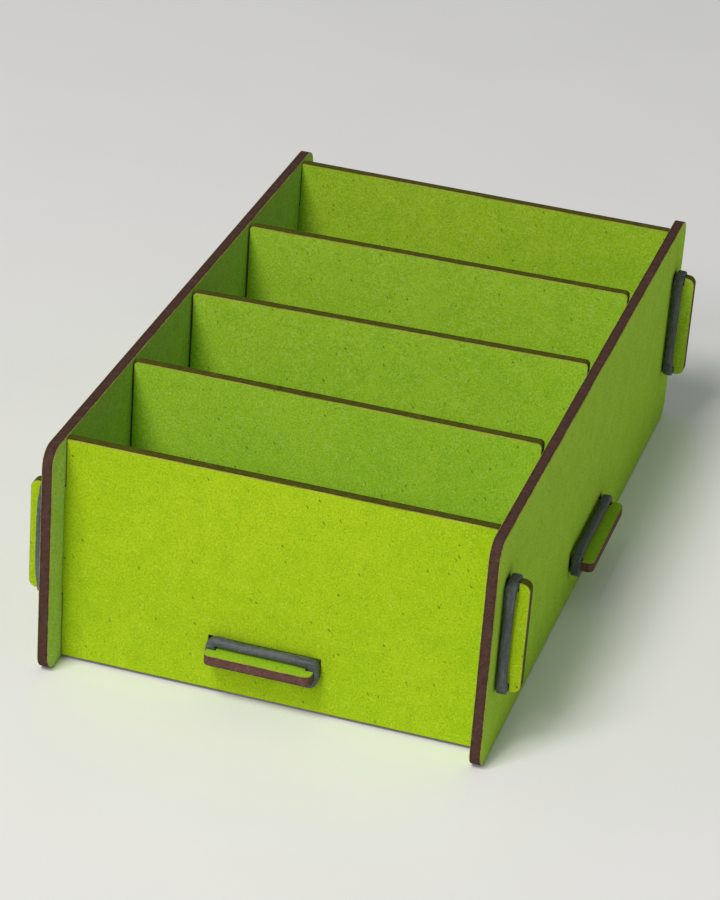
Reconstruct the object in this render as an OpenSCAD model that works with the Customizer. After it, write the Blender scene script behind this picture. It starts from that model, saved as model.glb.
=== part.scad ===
// Open-top box for business cards, plugged together from flat sheet panels.
// Tabs pass through slots in the neighbouring panels, and a rubber ring
// stretched around each tab's neck keeps it from slipping back.
// Millimetres. Origin at the middle of the footprint, on the surface it
// stands on. +X to the right, -Y to the front, +Z up.

/* [Box] */
// Thickness of the sheet that every panel is cut from
sheet = 3; // [2.6:0.1:3.4]
// Width over the outer faces of the side panels
box_w = 118.5; // [108:0.5:140]
// Length of the side panels, front to back
side_len = 211; // [196:1:250]
// Height of the side panels
side_h = 65; // [60:0.5:80]
// Corner radius of the side panels
side_r = 5; // [3:0.5:12]
// How far the side panels run past the front and rear panels
overrun = 9; // [8:0.5:12]

/* [Front and rear panels] */
// Height of their lower edge
end_low = 1; // [0.5:0.1:4]
// Height of their upper edge
end_top = 64.5; // [60:0.5:80]
// Their corner radius
end_r = 0.5; // [0.4:0.1:3]

/* [Bottom panel] */
// Height of its underside
floor_z = 11.8; // [8:0.1:14]

/* [Dividers] */
// Distance from one divider to the next
pitch = 47.5; // [42:0.5:50]
// Shift of the row of dividers, towards the rear
row_shift = -0.5; // [-1.5:0.1:1.5]
// Height of their upper edge
divider_top = 64.5; // [56:0.5:80]
// Radius of their upper corners
divider_r = 1.2; // [0.4:0.1:6]
// Mean gap between a divider's end and the side panel
divider_gap = 0.8; // [0.75:0.05:1.5]
// Sideways offset of the dividers, to the right
divider_shift = -0.45; // [-0.45:0.05:0.45]
// Length of the foot that stands in the bottom panel's slot
foot_len = 24; // [12:1:40]
// Width of that slot
foot_slot = 4.3; // [4.2:0.1:6]
// Turn of the front divider in its slot, degrees
front_turn = 0; // [-1:0.1:1]
// Turn of the middle divider in its slot, degrees
middle_turn = 1.9; // [-2:0.1:2]
// Turn of the rear divider in its slot, degrees
rear_turn = 1.2; // [-2:0.1:2]

/* [Tabs and slots] */
// Length of the front and rear panels' tabs
end_tab = 31.4; // [24:0.1:36]
// Height of the middle of these tabs
end_tab_z = 35.2; // [34:0.1:38]
// Length of the bottom panel's front and rear tabs
floor_end_tab = 28.7; // [20:0.1:40]
// Sideways offset of these two tabs
floor_end_shift = -1.2; // [-4:0.1:4]
// Length of the bottom panel's side tabs
floor_side_tab = 36.2; // [20:0.1:40]
// How far the front and rear panels' tabs stand out from the side panels
end_reach = 6.3; // [6.1:0.1:7.5]
// How far the bottom panel's tabs stand out from the panels around it
floor_reach = 6.6; // [6.1:0.1:7.5]
// Length of a tab's neck, from the panel to the lip
neck = 3.3; // [3.2:0.1:3.6]
// Radius of a tab's outer corners on the front and rear panels
end_tab_r = 2.2; // [0.5:0.1:2.4]
// Radius of a tab's outer corners on the bottom panel
floor_tab_r = 1.8; // [0.5:0.1:2.4]
// Depth of the notch that holds the ring, at each end of a tab
notch = 2.3; // [1:0.1:3]
// Play at each end of the slots in the front and rear panels
slot_play = 0.65; // [0.2:0.05:1]
// Play at each end of the slots in the side panels
side_slot_play = 0.3; // [0.2:0.05:1]
// Height of the slots for the bottom panel
floor_slot = 5; // [3.8:0.1:6]
// Width of the slots for the front and rear panels
end_slot = 3.4; // [3.4:0.1:4]

/* [Rubber rings] */
// Thickness of the rubber
ring_d = 2.8; // [2.2:0.1:3]

/* [Hidden] */
$fn = 64;
fit = 0.05;                          // space left around a seated ring
gap = 0.1;                           // space between panels that meet
half_w = box_w / 2;                  // outer face of a side panel
inner_w = half_w - sheet;            // inner face of a side panel
end_y = side_len / 2 - overrun;      // outer face of the front or rear panel
inner_y = end_y - sheet;             // its inner face
floor_top = floor_z + sheet;
seat = neck - fit - ring_d / 2;       // a ring's middle, out from the panel, against the lip
green = [0.62, 0.77, 0.10];
dark = [0.22, 0.25, 0.28];

// A rectangle from y = 0 up, centred on x, with its upper corners rounded.
module round_top(w, h, r) {
    translate([-w / 2, 0]) square([w, h - r]);
    translate([-w / 2 + r, 0]) square([w - 2 * r, h]);
    for (s = [-1, 1]) translate([s * (w / 2 - r), h - r]) difference() {
        circle(r);
        translate([-2 * r, -2 * r]) square([4 * r, 2 * r]);
    }
}

// A rectangle from y = 0 up, centred on x, with four rounded corners.
module round_plate(w, h, r) {
    translate([-w / 2, r]) square([w, h - 2 * r]);
    translate([-w / 2 + r, 0]) square([w - 2 * r, h]);
    for (s = [-1, 1], z = [r, h - r]) translate([s * (w / 2 - r), z]) circle(r);
}

// A tab: y = 0 is the outer face of the panel it passes through. Its neck is
// narrower than the lip beyond it, so that the ring has a seat.
module tab(len, reach, r) {
    translate([-len / 2, -sheet - 2]) square([len, sheet + 2]);
    translate([-len / 2 + notch, -1]) square([len - 2 * notch, neck + 2]);
    translate([0, neck]) round_top(len, reach - neck, r);
}

// A ring of round rubber around a tab's neck. It lies flat, with its long
// sides along x.
module ring(tab_len) {
    n = tab_len - 2 * notch;
    r = ring_d / 2;
    bend = r + fit;
    for (s = [-1, 1]) {
        translate([-n / 2, s * (sheet / 2 + bend), 0]) rotate([0, 90, 0]) cylinder(r = r, h = n);
        translate([s * (n / 2 + bend), -sheet / 2, 0]) rotate([-90, 0, 0]) cylinder(r = r, h = sheet);
    }
    for (q = [0 : 3])
        translate([(q == 0 || q == 3 ? 1 : -1) * n / 2, (q < 2 ? 1 : -1) * sheet / 2, 0])
            rotate([0, 0, 90 * q]) rotate_extrude(angle = 90) translate([bend, 0]) circle(r);
}

// The front or rear panel, upright, with a tab at each end and one slot.
module end_panel() {
    rotate([90, 0, 0]) linear_extrude(sheet) difference() {
        union() {
            translate([0, end_low]) round_plate(2 * (inner_w - gap), end_top - end_low, end_r);
            for (s = [-1, 1]) translate([s * half_w, end_tab_z]) rotate(-90 * s) tab(end_tab, end_reach, end_tab_r);
        }
        translate([floor_end_shift - floor_end_tab / 2 - slot_play, floor_z - gap])
            square([floor_end_tab + 2 * slot_play, floor_slot]);
    }
}

// A side panel, upright along y, with an upright slot near each end and a
// level slot in the middle.
module side_panel() {
    rotate([90, 0, 90]) linear_extrude(sheet) difference() {
        round_plate(side_len, side_h, side_r);
        for (s = [-1, 1]) translate([s * (end_y - sheet / 2) - end_slot / 2, end_tab_z - end_tab / 2 - side_slot_play])
            square([end_slot, end_tab + 2 * side_slot_play]);
        translate([-floor_side_tab / 2 - side_slot_play, floor_z - gap])
            square([floor_side_tab + 2 * side_slot_play, floor_slot]);
    }
}

// A divider at its place in the row, with a foot below.
module divider(place, turn) {
    translate([divider_shift, place * pitch + row_shift, 0]) rotate([0, 0, turn])
        translate([0, sheet / 2, 0]) rotate([90, 0, 0]) linear_extrude(sheet) {
            translate([0, floor_top + fit])
                round_top(2 * (inner_w - divider_gap), divider_top - floor_top - fit, divider_r);
            translate([-foot_len / 2, floor_z]) square([foot_len, sheet + 2]);
        }
}

// A ring on one of the front or rear panels' tabs, at the corner (sx, sy).
module corner_ring(sx, sy) {
    translate([sx * (half_w + seat), sy * (end_y - sheet / 2), end_tab_z])
        rotate([90, 0, 90]) rotate([0, 0, 90]) ring(end_tab);
}

module bottom_panel() {
    color(green) translate([0, 0, floor_z]) linear_extrude(sheet) difference() {
        union() {
            square([2 * (inner_w - gap), 2 * (inner_y - gap)], center = true);
            for (s = [-1, 1]) {
                translate([floor_end_shift, s * end_y]) rotate(s > 0 ? 0 : 180) tab(floor_end_tab, floor_reach, floor_tab_r);
                translate([s * half_w, 0]) rotate(-90 * s) tab(floor_side_tab, floor_reach, floor_tab_r);
            }
        }
        for (p = [-1 : 1]) translate([0, p * pitch + row_shift]) square([foot_len + 2, foot_slot], center = true);
    }
}

module front_panel() { color(green) translate([0, -inner_y, 0]) end_panel(); }
module rear_panel() { color(green) translate([0, end_y, 0]) end_panel(); }
module left_side_panel() { color(green) translate([-half_w, 0, 0]) side_panel(); }
module right_side_panel() { color(green) translate([inner_w, 0, 0]) side_panel(); }

module front_divider() { color(green) divider(-1, front_turn); }
module middle_divider() { color(green) divider(0, middle_turn); }
module rear_divider() { color(green) divider(1, rear_turn); }

module front_rubber_ring() {
    color(dark) translate([floor_end_shift, -end_y - seat, floor_z + sheet / 2])
        rotate([90, 0, 0]) ring(floor_end_tab);
}
module rear_rubber_ring() {
    color(dark) translate([floor_end_shift, end_y + seat, floor_z + sheet / 2])
        rotate([90, 0, 0]) ring(floor_end_tab);
}
module left_rubber_ring() {
    color(dark) translate([-half_w - seat, 0, floor_z + sheet / 2])
        rotate([90, 0, 90]) ring(floor_side_tab);
}
module right_rubber_ring() {
    color(dark) translate([half_w + seat, 0, floor_z + sheet / 2])
        rotate([90, 0, 90]) ring(floor_side_tab);
}
module left_front_rubber_ring() { color(dark) corner_ring(-1, -1); }
module left_rear_rubber_ring() { color(dark) corner_ring(-1, 1); }
module right_front_rubber_ring() { color(dark) corner_ring(1, -1); }
module right_rear_rubber_ring() { color(dark) corner_ring(1, 1); }

bottom_panel();
front_panel();
rear_panel();
left_side_panel();
right_side_panel();
front_divider();
middle_divider();
rear_divider();
front_rubber_ring();
rear_rubber_ring();
left_rubber_ring();
right_rubber_ring();
left_front_rubber_ring();
left_rear_rubber_ring();
right_front_rubber_ring();
right_rear_rubber_ring();
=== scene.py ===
import math

import bmesh
import bpy
from mathutils import Matrix, Vector


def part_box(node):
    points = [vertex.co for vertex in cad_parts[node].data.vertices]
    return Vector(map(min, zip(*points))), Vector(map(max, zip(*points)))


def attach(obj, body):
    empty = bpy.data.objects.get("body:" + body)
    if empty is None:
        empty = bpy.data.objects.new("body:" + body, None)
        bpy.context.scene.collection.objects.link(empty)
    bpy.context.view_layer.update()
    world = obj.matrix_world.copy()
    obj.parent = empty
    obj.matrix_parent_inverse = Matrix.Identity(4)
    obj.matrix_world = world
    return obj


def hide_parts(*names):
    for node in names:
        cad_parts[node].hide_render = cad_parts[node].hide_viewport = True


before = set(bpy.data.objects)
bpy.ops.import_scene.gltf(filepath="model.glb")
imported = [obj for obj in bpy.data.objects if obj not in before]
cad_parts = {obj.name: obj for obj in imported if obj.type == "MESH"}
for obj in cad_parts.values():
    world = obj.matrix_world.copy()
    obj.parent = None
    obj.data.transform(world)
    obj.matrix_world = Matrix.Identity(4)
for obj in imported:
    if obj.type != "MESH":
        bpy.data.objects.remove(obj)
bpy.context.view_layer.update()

MM = 0.001
scene = bpy.context.scene


# ---------------------------------------------------------------- node helpers

class Graph:
    """A material's nodes, built from small calls. Sockets go in by name."""

    def __init__(self, name):
        self.material = bpy.data.materials.new(name)
        self.material.use_nodes = True
        self.tree = self.material.node_tree
        self.tree.nodes.clear()
        self.out = self.tree.nodes.new("ShaderNodeOutputMaterial")
        self.shader = self.tree.nodes.new("ShaderNodeBsdfPrincipled")
        self.tree.links.new(self.shader.outputs["BSDF"], self.out.inputs["Surface"])
        coord = self.tree.nodes.new("ShaderNodeTexCoord")
        # object coordinates, in millimetres
        self.mm = self.vector("SCALE", coord.outputs["Object"], scale=1000.0)

    def put(self, socket, value):
        if hasattr(value, "is_output"):
            self.tree.links.new(value, socket)
        else:
            socket.default_value = value

    def vector(self, op, a, b=None, scale=None):
        n = self.tree.nodes.new("ShaderNodeVectorMath")
        n.operation = op
        self.put(n.inputs[0], a)
        if b is not None:
            self.put(n.inputs[1], b)
        if scale is not None:
            self.put(n.inputs["Scale"], scale)
        return n.outputs["Value"] if op in ("DOT_PRODUCT", "LENGTH") else n.outputs["Vector"]

    def maths(self, op, a, b=0.0, clamp=False):
        n = self.tree.nodes.new("ShaderNodeMath")
        n.operation = op
        n.use_clamp = clamp
        self.put(n.inputs[0], a)
        self.put(n.inputs[1], b)
        return n.outputs[0]

    def turned(self, vector, angle, shift, stretch):
        """The vector moved, turned, and stretched along the turned axes."""
        n = self.tree.nodes.new("ShaderNodeMapping")
        n.vector_type = "TEXTURE"
        self.put(n.inputs["Vector"], vector)
        n.inputs["Rotation"].default_value = angle
        n.inputs["Location"].default_value = shift
        n.inputs["Scale"].default_value = [1.0 / k for k in stretch]
        return n.outputs["Vector"]

    def noise(self, vector, scale, detail=2.0, rough=0.5, twist=0.0):
        n = self.tree.nodes.new("ShaderNodeTexNoise")
        self.put(n.inputs["Vector"], vector)
        n.inputs["Scale"].default_value = scale
        n.inputs["Detail"].default_value = detail
        n.inputs["Roughness"].default_value = rough
        n.inputs["Distortion"].default_value = twist
        return n.outputs["Fac"]

    def cells(self, vector, scale):
        n = self.tree.nodes.new("ShaderNodeTexVoronoi")
        n.feature = "F1"
        self.put(n.inputs["Vector"], vector)
        n.inputs["Scale"].default_value = scale
        return n.outputs["Distance"], n.outputs["Color"]

    def span(self, value, lo, hi, to_lo=0.0, to_hi=1.0, smooth=True):
        n = self.tree.nodes.new("ShaderNodeMapRange")
        n.interpolation_type = "SMOOTHSTEP" if smooth else "LINEAR"
        n.clamp = True
        self.put(n.inputs["Value"], value)
        n.inputs["From Min"].default_value = lo
        n.inputs["From Max"].default_value = hi
        n.inputs["To Min"].default_value = to_lo
        n.inputs["To Max"].default_value = to_hi
        return n.outputs["Result"]

    def mix(self, factor, a, b, kind="MIX"):
        n = self.tree.nodes.new("ShaderNodeMix")
        n.data_type = "RGBA"
        n.blend_type = kind
        n.clamp_factor = True
        self.put(n.inputs["Factor"], factor)
        self.put(n.inputs[6], a)
        self.put(n.inputs[7], b)
        return n.outputs[2]

    def ramp(self, value, stops):
        n = self.tree.nodes.new("ShaderNodeValToRGB")
        self.put(n.inputs["Fac"], value)
        e = n.color_ramp.elements
        while len(e) > 1:
            e.remove(e[-1])
        e[0].position, e[0].color = stops[0]
        for position, colour in stops[1:]:
            e.new(position).color = colour
        return n.outputs["Color"]

    def bump(self, height, strength, distance):
        n = self.tree.nodes.new("ShaderNodeBump")
        n.inputs["Strength"].default_value = strength
        n.inputs["Distance"].default_value = distance
        self.put(n.inputs["Height"], height)
        self.put(self.shader.inputs["Normal"], n.outputs["Normal"])

    def one_in(self, colour, share):
        """1 in that share of the cells, picked by each cell's own colour."""
        n = self.tree.nodes.new("ShaderNodeSeparateColor")
        self.put(n.inputs["Color"], colour)
        return self.maths("LESS_THAN", n.outputs["Red"], share)


def rgb(r, g, b):
    return (r, g, b, 1.0)


# ---------------------------------------------------------------- materials

def stained_face(name, seed, tint, axis):
    """Lime-green stained fibreboard: mottled stain, short thin pale and dark fibres, sparse specks.
    tint multiplies the board's colour: it differs per board, and its raised blue, strongest on the boards seen in
    shade, is painted shade colour; the fibres lie nearly flat in the board, across its axis."""
    g = Graph(name)
    p = g.vector("ADD", g.mm, (seed * 37.0, seed * 53.0, seed * 71.0))
    cloud = g.noise(p, 0.045, 2.0, 0.55, 0.4)
    blot = g.noise(p, 0.22, 3.0, 0.6, 0.3)
    grain = g.noise(p, 1.9, 3.0, 0.65)
    colour = g.mix(g.span(cloud, 0.32, 0.68), rgb(0.362, 0.578, 0.006), rgb(0.400, 0.602, 0.007))
    colour = g.mix(g.span(blot, 0.46, 0.70, 0.0, 0.85), colour, rgb(0.322, 0.543, 0.006))
    colour = g.mix(g.span(blot, 0.46, 0.24, 0.0, 0.85), colour, rgb(0.420, 0.640, 0.009))
    colour = g.mix(g.span(grain, 0.50, 0.70, 0.0, 1.0), colour, rgb(0.472, 0.682, 0.026))
    colour = g.mix(g.span(grain, 0.50, 0.30, 0.0, 1.0), colour, rgb(0.262, 0.462, 0.004))
    # short thin fibres in lays of several directions, each in some of the cells only
    flat = max(range(3), key=lambda k: abs(axis[k]))
    for i, (turn, tilt, long, share) in enumerate((
        (0.30, 0.05, 0.20, 0.22), (1.10, -0.06, 0.24, 0.26), (1.75, 0.07, 0.26, 0.22), (2.35, -0.05, 0.22, 0.26),
        (2.85, 0.06, 0.32, 0.24), (0.75, -0.07, 0.30, 0.28),
    )):
        way = ((0.0, turn, math.pi / 2 + tilt), (0.0, turn, tilt), (0.0, tilt, turn))[flat]
        v = g.turned(p, way, (11.0 * i, 7.0 * i, 3.0 * i), (long, 1.6, 1.6))
        distance, pick = g.cells(v, 0.86)
        thread = g.maths("MULTIPLY", g.span(distance, 0.25, 0.07), g.one_in(pick, share))
        tone = rgb(0.53, 0.745, 0.060) if i % 2 == 0 else rgb(0.230, 0.385, 0.006)
        colour = g.mix(g.maths("MULTIPLY", thread, 0.60), colour, tone)
    # dark specks, some long, some round, some tiny
    for i, (turn, stretch, size, share, depth, wide) in enumerate((
        ((0.9, 0.4, 1.9), (1.0, 0.55, 0.8), 0.34, 0.34, 0.74, 0.110),
        ((0.2, 1.1, 0.4), (0.36, 1.2, 1.1), 0.42, 0.50, 0.66, 0.130),
        ((0.1, -0.6, 1.2), (0.50, 1.10, 1.0), 0.62, 0.75, 0.66, 0.130),
    )):
        distance, pick = g.cells(g.turned(p, turn, (5.0 + 13.0 * i, 2.0, 9.0), stretch), size)
        speck = g.maths("MULTIPLY", g.span(distance, wide, wide * 0.45), g.one_in(pick, share))
        colour = g.mix(g.maths("MULTIPLY", speck, depth), colour, rgb(0.085, 0.150, 0.006))
    # the board's tint: its raised blue on the boards seen in shade is painted shade colour
    colour = g.mix(1.0, colour, rgb(*tint), "MULTIPLY")
    g.put(g.shader.inputs["Base Color"], colour)
    g.put(g.shader.inputs["Roughness"], g.span(grain, 0.3, 0.7, 0.62, 0.76, smooth=False))
    g.shader.inputs["Specular IOR Level"].default_value = 0.0
    g.shader.inputs["Sheen Weight"].default_value = 0.10
    g.shader.inputs["Sheen Roughness"].default_value = 0.5
    g.shader.inputs["Sheen Tint"].default_value = rgb(0.85, 0.95, 1.0)
    g.bump(grain, 0.16, 0.00006)
    return g.material


def cut_edge(name, axis, middle, seed, tone):
    """Brown cut edge of the board: fibrous core, stain soaked in from both faces, a pale worn arris.
    axis and middle give the board's mid-plane, in millimetres; tone tints the whole edge."""
    g = Graph(name)
    p = g.vector("ADD", g.mm, (seed * 41.0, seed * 29.0, seed * 61.0))
    depth = g.maths("ABSOLUTE", g.maths("SUBTRACT", g.vector("DOT_PRODUCT", g.mm, axis), middle))
    depth = g.maths("DIVIDE", depth, 1.5)
    fuzz = g.noise(p, 1.1, 3.0, 0.6)
    depth = g.maths("ADD", depth, g.span(fuzz, 0.25, 0.75, -0.055, 0.055, smooth=False))
    colour = g.ramp(depth, [
        (0.00, rgb(0.088, 0.050, 0.042)),
        (0.48, rgb(0.084, 0.049, 0.036)),
        (0.70, rgb(0.058, 0.045, 0.018)),
        (1.00, rgb(0.046, 0.046, 0.010)),
    ])
    fibre = g.noise(g.turned(p, (0.3, 0.8, 0.5), (3.0, 1.0, 2.0), (1.0, 1.0, 0.55)), 2.1, 3.0, 0.7)
    colour = g.mix(g.span(fibre, 0.50, 0.78, 0.0, 0.55), colour, rgb(0.165, 0.105, 0.082))
    colour = g.mix(g.span(fibre, 0.48, 0.24, 0.0, 0.65), colour, rgb(0.024, 0.016, 0.012))
    mottle = g.noise(p, 0.48, 3.0, 0.65)
    colour = g.mix(g.span(mottle, 0.54, 0.72, 0.0, 0.50), colour, rgb(0.140, 0.098, 0.078))
    colour = g.mix(g.span(mottle, 0.46, 0.30, 0.0, 0.55), colour, rgb(0.034, 0.021, 0.016))
    patch = g.noise(p, 0.10, 2.0, 0.5)
    colour = g.mix(g.span(patch, 0.52, 0.72, 0.0, 0.45), colour, rgb(0.066, 0.056, 0.024))
    colour = g.mix(1.0, colour, rgb(*tone), "MULTIPLY")
    worn = g.span(patch, 0.30, 0.60, 0.45, 1.0)
    colour = g.mix(g.maths("MULTIPLY", g.span(depth, 0.86, 0.92), worn), colour, rgb(0.42, 0.37, 0.080))
    g.put(g.shader.inputs["Base Color"], colour)
    g.put(g.shader.inputs["Roughness"], g.span(fibre, 0.3, 0.7, 0.70, 0.88, smooth=False))
    g.shader.inputs["Specular IOR Level"].default_value = 0.12
    g.bump(g.maths("ADD", fibre, g.maths("MULTIPLY", fuzz, 0.5)), 0.45, 0.00012)
    return g.material


def ring_rubber(name, stretch):
    """Dark blue-grey rubber with a dusty bloom and painted highlight streaks along its strands. stretch is short along
    the ring's strands.
    """
    g = Graph(name)
    dust = g.noise(g.mm, 0.9, 3.0, 0.6)
    fine = g.noise(g.mm, 4.2, 2.0, 0.6)
    colour = g.mix(g.span(dust, 0.35, 0.72), rgb(0.060, 0.071, 0.078), rgb(0.105, 0.122, 0.134))
    colour = g.mix(g.span(fine, 0.55, 0.80, 0.0, 0.5), colour, rgb(0.165, 0.182, 0.196))
    # painted highlight streaks: pale lengthwise streaks along the strands, with darker streaks between them
    streak_and_highlight = g.noise(g.turned(g.mm, (0.0, 0.0, 0.0), (4.0, 2.0, 7.0), stretch), 1.5, 2.0, 0.6)
    colour = g.mix(g.span(streak_and_highlight, 0.52, 0.70, 0.0, 0.55), colour, rgb(0.150, 0.170, 0.192))
    colour = g.mix(g.span(streak_and_highlight, 0.46, 0.30, 0.0, 0.55), colour, rgb(0.040, 0.048, 0.054))
    g.put(g.shader.inputs["Base Color"], colour)
    g.put(g.shader.inputs["Roughness"], g.span(dust, 0.3, 0.7, 0.52, 0.68, smooth=False))
    g.shader.inputs["Specular IOR Level"].default_value = 0.45
    g.bump(fine, 0.18, 0.00005)
    return g.material


# ---------------------------------------------------------------- boards

def board(node, body, axis, middle, seed, tint, tone):
    """The node's board with its arrises eased: face, cut edge and worn arris. axis is the board's thickness direction."""
    n = Vector(axis).normalized()
    bm = bmesh.new()
    bm.from_mesh(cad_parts[node].data)
    bmesh.ops.remove_doubles(bm, verts=bm.verts, dist=2e-6)
    bmesh.ops.dissolve_limit(bm, angle_limit=math.radians(0.4), verts=bm.verts, edges=bm.edges)
    bm.normal_update()
    for f in bm.faces:
        f.material_index = 0 if abs(f.normal.dot(n)) > 0.99 else 1
    arris = [
        e for e in bm.edges
        if len(e.link_faces) == 2 and e.link_faces[0].material_index != e.link_faces[1].material_index
    ]
    bmesh.ops.bevel(
        bm, geom=arris, offset=0.20 * MM, offset_type="OFFSET", segments=2, profile=0.5,
        affect="EDGES", clamp_overlap=True, material=1,
    )
    bm.normal_update()
    for f in bm.faces:
        f.smooth = True
    for e in bm.edges:
        e.smooth = len(e.link_faces) == 2 and e.calc_face_angle(3.0) < math.radians(14)
    mesh = bpy.data.meshes.new(node + "_board")
    bm.to_mesh(mesh)
    bm.free()
    mesh.materials.append(stained_face(node + "_stain", seed, tint, n))
    mesh.materials.append(cut_edge(node + "_cut_edge", tuple(n), middle, seed, tone))
    o = bpy.data.objects.new(node + "_board", mesh)
    scene.collection.objects.link(o)
    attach(o, body)
    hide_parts(node)
    return o


def middle_of(node, axis):
    """The board's mid-plane along its thickness direction, in millimetres."""
    n = Vector(axis).normalized()
    d = [v.co.dot(n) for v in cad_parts[node].data.vertices]
    return (min(d) + max(d)) / 2 / MM


# how the boards took the stain, and painted shade: their face tints, whose raised blue on the boards seen in shade is
# painted shade colour, and their cut edges, burnt brown on the sides and olive where the stain ran in
BURNT, OLIVE, WARM = (0.93, 0.77, 0.82), (0.92, 1.58, 0.14), (1.48, 1.22, 1.40)
BOARDS = [
    ("bottom_panel", "box", (0, 0, 1), (0.84, 0.95, 1.4), WARM),
    ("front_panel", "box", (0, 1, 0), (1.0, 0.97, 1.2), OLIVE),
    ("rear_panel", "box", (0, 1, 0), (1.0, 1.0, 3.6), OLIVE),
    ("left_side_panel", "box", (1, 0, 0), (1.02, 0.98, 8.0), BURNT),
    ("right_side_panel", "box", (1, 0, 0), (0.98, 1.05, 2.2), BURNT),
]
# the dividers, seen in shade, get a raised blue (4.4): painted shade colour
for name, turn, green in (("front_divider", 0.0, 1.09), ("middle_divider", 1.9, 1.06), ("rear_divider", 1.2, 1.04)):
    t = math.radians(turn)
    BOARDS.append((name, name, (-math.sin(t), math.cos(t), 0), (1.0, green, 4.4), OLIVE))

for seed, (node, body, axis, tint, tone) in enumerate(BOARDS):
    board(node, body, axis, middle_of(node, axis), seed + 1, tint, tone)


# ---------------------------------------------------------------- rubber rings

RUBBER = {
    "x": ring_rubber("ring_rubber_x", (0.10, 1.0, 1.0)),
    "y": ring_rubber("ring_rubber_y", (1.0, 0.10, 1.0)),
    "z": ring_rubber("ring_rubber_z", (1.0, 1.0, 0.10)),
}


def ring(node, along, across, seed, swells, bows, ends, slim):
    """A rubber ring pulled round a tab's neck: a round section swept along a rounded loop in the plane of along and across.
    swells is how far the rubber stands off at the four ends of its strands, bows how far each long strand
    lies out from the panel between its ends, and ends how far its two turned ends stand off, all in millimetres.
    slim narrows the section."""
    lo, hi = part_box(node)
    centre = (lo + hi) / 2
    u, v = Vector(along), Vector(across)
    w = u.cross(v)
    size = hi - lo
    thick = abs(size.dot(w))
    r = thick / 2
    a = abs(size.dot(u)) / 2 - r
    b = abs(size.dot(v)) / 2 - r
    corner = r + 0.05 * MM
    # the loop: two long strands and two turned ends
    points = []
    straight_a, straight_b = a - corner, b - corner
    for cx, cy, start in ((1, 1, 0), (-1, 1, 90), (-1, -1, 180), (1, -1, 270)):
        for k in range(9):
            t = math.radians(start + k * 90 / 8)
            points.append((cx * straight_a + corner * math.cos(t), cy * straight_b + corner * math.sin(t)))
    loop = []
    for i, q in enumerate(points):
        nxt = points[(i + 1) % len(points)]
        gap = math.dist(q, nxt)
        steps = max(1, int(round(gap / (0.6 * MM))))
        for s in range(steps):
            f = s / steps
            loop.append((q[0] + (nxt[0] - q[0]) * f, q[1] + (nxt[1] - q[1]) * f))
    bm = bmesh.new()
    sides = 20
    rows = []
    total = len(loop)
    lip = 1 if centre.dot(w) > 0 else -1
    for i, q in enumerate(loop):
        before, after = loop[i - 1], loop[(i + 1) % total]
        tx, ty = after[0] - before[0], after[1] - before[1]
        length = math.hypot(tx, ty)
        nx, ny = ty / length, -tx / length
        turn = 2 * math.pi * i / total
        wave = math.sin(turn * 3 + seed * 1.7) * 0.5 + math.sin(turn * 7 + seed * 0.9) * 0.5
        # pressed flat against the tab, and swelling a little where the strands turn round its ends
        near_end = min(1.0, max(0.0, (abs(q[0]) / straight_a - 0.45) / 0.5))
        near_end = near_end * near_end * (3 - 2 * near_end)
        swell = swells[(0 if q[0] < 0 else 1) + (0 if q[1] > 0 else 2)] * MM * near_end * ny * ny
        swell += ends[0 if q[0] < 0 else 1] * MM * nx * nx
        rr = r * (0.988 + 0.012 * wave)
        strand = ny * ny
        middle = swell - 0.10 * r * strand
        # squeezed into the notch at the ends of each strand
        grip = min(1.0, max(0.0, (abs(q[0]) / straight_a - 0.62) / 0.36))
        grip = grip * grip * (3 - 2 * grip)
        drift = -lip * (0.05 + 0.05 * math.sin(turn * 2 + seed)) * MM * strand * (1.0 - grip)
        reach = min(1.0, abs(q[0]) / straight_a)
        drift += lip * bows[0 if q[1] > 0 else 1] * MM * (1.0 - reach ** 4) * strand
        flat, narrow = 1.0 - 0.10 * strand, 1.0 - (1.0 - slim) * strand * (1.0 - grip)
        square = 0.42 + 0.58 * strand ** 4 * (1.0 - 0.55 * grip)
        row = []
        for k in range(sides):
            t = 2 * math.pi * k / sides
            c, e = math.cos(t), math.sin(t)
            c, e = math.copysign(abs(c) ** square, c), math.copysign(abs(e) ** square, e)
            out, side = middle + flat * rr * c, drift + narrow * rr * e
            row.append(bm.verts.new(centre + u * (q[0] + nx * out) + v * (q[1] + ny * out) + w * side))
        rows.append(row)
    for i in range(total):
        x, y = rows[i], rows[(i + 1) % total]
        for k in range(sides):
            bm.faces.new((x[k], y[k], y[(k + 1) % sides], x[(k + 1) % sides]))
    bmesh.ops.recalc_face_normals(bm, faces=bm.faces)
    for f in bm.faces:
        f.smooth = True
    mesh = bpy.data.meshes.new(node + "_loop")
    bm.to_mesh(mesh)
    bm.free()
    mesh.materials.append(RUBBER["xyz"[along.index(1)]])
    o = bpy.data.objects.new(node + "_loop", mesh)
    scene.collection.objects.link(o)
    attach(o, "box")
    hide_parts(node)
    return o


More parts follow.
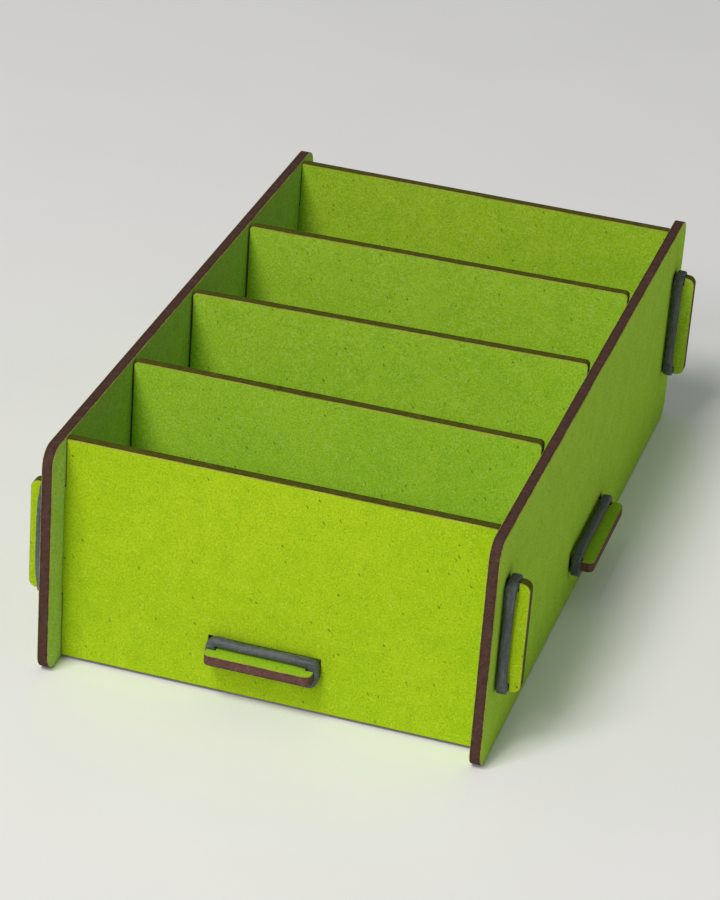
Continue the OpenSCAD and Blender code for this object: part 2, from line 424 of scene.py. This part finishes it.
X, Y, Z = (1, 0, 0), (0, 1, 0), (0, 0, 1)
RINGS = [
    ("front_rubber_ring", X, Z, (0.40, 0.06, 0.10, 0.08), (0.0, 0.0), (0.0, 0.40), 1.0),
    ("rear_rubber_ring", X, Z, (0.12, 0.18, 0.10, 0.08), (0.1, 0.0), (0.1, 0.0), 1.0),
    ("left_rubber_ring", Y, Z, (0.16, 0.10, 0.12, 0.08), (0.0, 0.1), (0.0, 0.1), 1.0),
    ("right_rubber_ring", Y, Z, (0.10, 0.20, 0.10, 0.12), (0.0, 0.0), (0.0, 0.0), 1.0),
    ("left_front_rubber_ring", Z, Y, (0.12, 0.10, 0.14, 0.20), (0.0, 0.9), (0.0, 0.0), 1.0),
    ("left_rear_rubber_ring", Z, Y, (0.10, 0.14, 0.08, 0.12), (0.2, 0.0), (0.1, 0.0), 1.0),
    ("right_front_rubber_ring", Z, Y, (0.10, 0.10, 0.10, 0.22), (0.0, -0.15), (0.10, 0.0), 0.97),
    ("right_rear_rubber_ring", Z, Y, (0.10, 0.14, 0.18, 0.10), (0.0, -0.1), (0.0, 0.15), 0.97),
]
for seed, (node, along, across, swells, bows, ends, slim) in enumerate(RINGS):
    ring(node, along, across, seed, swells, bows, ends, slim)


# ---------------------------------------------------------------- floor, light, camera

def floor():
    g = Graph("pale_floor")
    n = g.noise(g.mm, 0.02, 2.0, 0.5)
    g.put(g.shader.inputs["Base Color"], g.mix(g.span(n, 0.3, 0.7), rgb(0.93, 0.945, 0.965), rgb(0.945, 0.96, 0.98)))
    g.shader.inputs["Roughness"].default_value = 0.9
    g.shader.inputs["Specular IOR Level"].default_value = 0.1
    bm = bmesh.new()
    s = 6.0
    bm.faces.new([bm.verts.new((x, y, -0.00002)) for x, y in ((-s, -s), (s, -s), (s, s), (-s, s))])
    mesh = bpy.data.meshes.new("floor")
    bm.to_mesh(mesh)
    bm.free()
    mesh.materials.append(g.material)
    o = bpy.data.objects.new("floor", mesh)
    scene.collection.objects.link(o)


floor()


def soft_box(name, place, target, width, height, power, colour):
    light = bpy.data.lights.new(name, "AREA")
    light.shape = "RECTANGLE"
    light.size, light.size_y = width, height
    light.energy = power
    light.color = colour
    o = bpy.data.objects.new(name, light)
    o.location = place
    o.rotation_mode = "QUATERNION"
    o.rotation_quaternion = (Vector(target) - Vector(place)).to_track_quat("-Z", "Y")
    scene.collection.objects.link(o)


soft_box("key", (-0.50, -1.20, 1.90), (0, 0, 0.03), 0.7, 0.7, 26.1, (1.0, 0.935, 0.90))
soft_box("front", (-0.32, -1.85, 1.25), (0, 0, 0.03), 0.5, 0.6, 10.6, (1.0, 0.935, 0.90))

world = bpy.data.worlds.new("studio")
scene.world = world
world.use_nodes = True
world.node_tree.nodes["Background"].inputs["Color"].default_value = (0.96, 1.0, 0.96, 1.0)
world.node_tree.nodes["Background"].inputs["Strength"].default_value = 0.262

scene.view_settings.view_transform = "Standard"
scene.view_settings.look = "None"
scene.view_settings.exposure = 0.0
scene.view_settings.gamma = 1.0


def camera():
    az, el, roll = math.radians(15.1319), math.radians(28.25), math.radians(4.3761)
    back = Vector((math.sin(az) * math.cos(el), -math.cos(az) * math.cos(el), math.sin(el)))
    x = (-back).cross(Vector((0, 0, 1))).normalized()
    y = x.cross(-back)
    xr = x * math.cos(roll) + y * math.sin(roll)
    yr = -x * math.sin(roll) + y * math.cos(roll)
    place = Vector((0.206341, -0.786241, 0.462281))
    data = bpy.data.cameras.new("camera")
    data.sensor_fit = "AUTO"
    data.sensor_width = 36.0
    data.lens = 133.4546
    data.clip_start, data.clip_end = 0.05, 50.0
    o = bpy.data.objects.new("camera", data)
    o.matrix_world = Matrix((
        (xr.x, yr.x, back.x, place.x),
        (xr.y, yr.y, back.y, place.y),
        (xr.z, yr.z, back.z, place.z),
        (0, 0, 0, 1),
    ))
    scene.collection.objects.link(o)
    scene.camera = o


camera()
